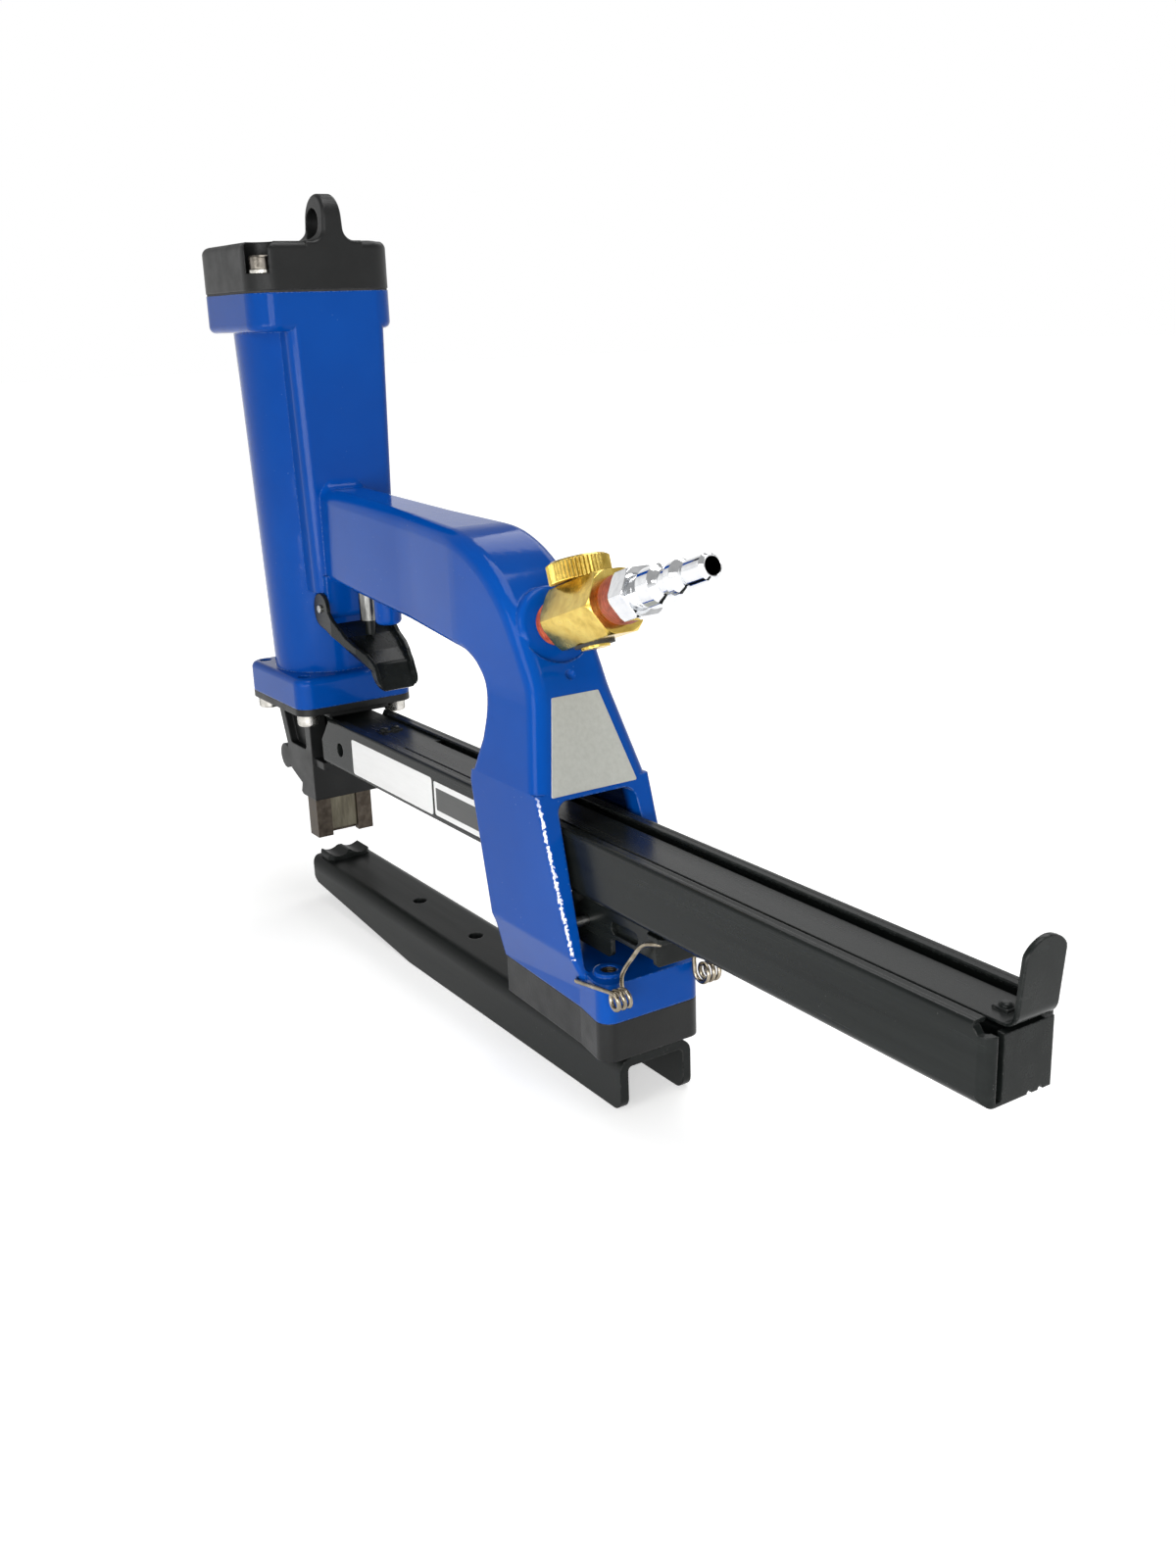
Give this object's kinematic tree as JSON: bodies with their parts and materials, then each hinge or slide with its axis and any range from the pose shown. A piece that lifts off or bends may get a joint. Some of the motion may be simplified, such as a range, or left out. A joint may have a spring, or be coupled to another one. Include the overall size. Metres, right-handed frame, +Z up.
{
  "type": "pneumatic stapling plier",
  "caption": "Air-driven stapling plier: upright cylinder on a C-shaped handle and leg, long staple magazine through the leg, anvil arm below, brass inlet regulator.",
  "frame": {"origin": "on the floor under the anvil arm, midway along the tool and on its middle plane", "axes": "+X along the magazine towards its tail, +Y across the tool, +Z up along the cylinder"},
  "size_m": [0.4038, 0.0574, 0.2812],
  "materials": {
    "blue_enamel": "glossy enamel on a casting",
    "black_enamel": "satin black",
    "black_steel": "blackened sheet steel",
    "nickel": "nickel plated",
    "steel": "bare steel",
    "dark_steel": "oiled tool steel",
    "brass": "machined",
    "chrome": "polished plating",
    "sleeve_alloy": "anodised",
    "rubber": "matt",
    "sealant_red": "dried thread sealant",
    "sealant_brown": "dried thread sealant"
  },
  "bodies": {
    "frame": {"housing": "blue_enamel", "cap_gasket": "rubber", "cap": "black_enamel", "cap_screws": "nickel", "cap_washers": "nickel", "cylinder_sleeve": "sleeve_alloy", "bumper": "rubber", "nose": "black_enamel", "nose_screws": "nickel", "nose_guide": "dark_steel", "guide_plate": "steel", "spacer": "black_enamel", "anvil_arm": "black_steel", "anvil": "dark_steel", "arm_bolts": "nickel", "valve_bush": "chrome", "valve_spring": "steel", "trigger_pin": "steel", "inlet_seal": "sealant_red", "regulator_body": "brass", "regulator_seat": "brass", "seat_ring": "rubber", "plug_seal": "sealant_brown", "air_plug": "chrome", "latch_pin": "steel", "latch_springs": "nickel"},
    "trigger": {"trigger": "black_steel"},
    "stem": {"valve_stem": "chrome"},
    "striker": {"piston": "sleeve_alloy", "piston_ring": "rubber", "driver": "steel", "driver_pin": "steel"},
    "magazine": {"magazine": "black_steel", "core_rail": "steel", "guide_rod": "steel", "feed_spring": "steel"},
    "pusher": {"pusher": "steel"},
    "cover": {"cover_strip": "black_steel", "strip_rivets": "nickel"},
    "latch": {"latch": "black_steel"},
    "knob": {"regulator_knob": "brass"}
  },
  "joints": [
    {"name": "trigger_squeeze", "type": "hinge", "parent": "frame", "child": "trigger", "pos_m": [-0.14572, 0, 0.1293], "axis": [0, -1, 0], "range_deg": [0, 9], "stiffness_Nm_per_rad": 0.4, "springref_deg": -17.19, "deforming": ["valve_spring"]},
    {"name": "valve_lift", "type": "slide", "parent": "frame", "child": "stem", "axis": [0, 0, 1], "range_m": [0, 0.0023]},
    {"name": "striker_drive", "type": "slide", "parent": "frame", "child": "striker", "axis": [0, 0, -1], "range_m": [0, 0.055]},
    {"name": "magazine_slide", "type": "slide", "parent": "frame", "child": "magazine", "axis": [1, 0, 0], "range_m": [0, 0.05]},
    {"name": "cover_slide", "type": "slide", "parent": "magazine", "child": "cover", "axis": [1, 0, 0], "range_m": [0, 0.12]},
    {"name": "pusher_slide", "type": "slide", "parent": "magazine", "child": "pusher", "axis": [1, 0, 0], "range_m": [0, 0.26], "stiffness_N_per_m": 20, "springref_m": -0.2, "deforming": ["feed_spring"]},
    {"name": "latch_press", "type": "hinge", "parent": "frame", "child": "latch", "pos_m": [0.03275, 0, 0.056], "axis": [0, 1, 0], "range_deg": [0, 10], "stiffness_Nm_per_rad": 0.4, "springref_deg": -17.19, "deforming": ["latch_springs"]},
    {"name": "knob_turn", "type": "hinge", "parent": "frame", "child": "knob", "pos_m": [0.02496, 0, 0.15028], "axis": [-0.3223, 0, 0.9466], "continuous": true}
  ],
  "couplings": [
    {"joint": "valve_lift", "follows": "trigger_squeeze", "m_per_rad": 0.0142}
  ]
}
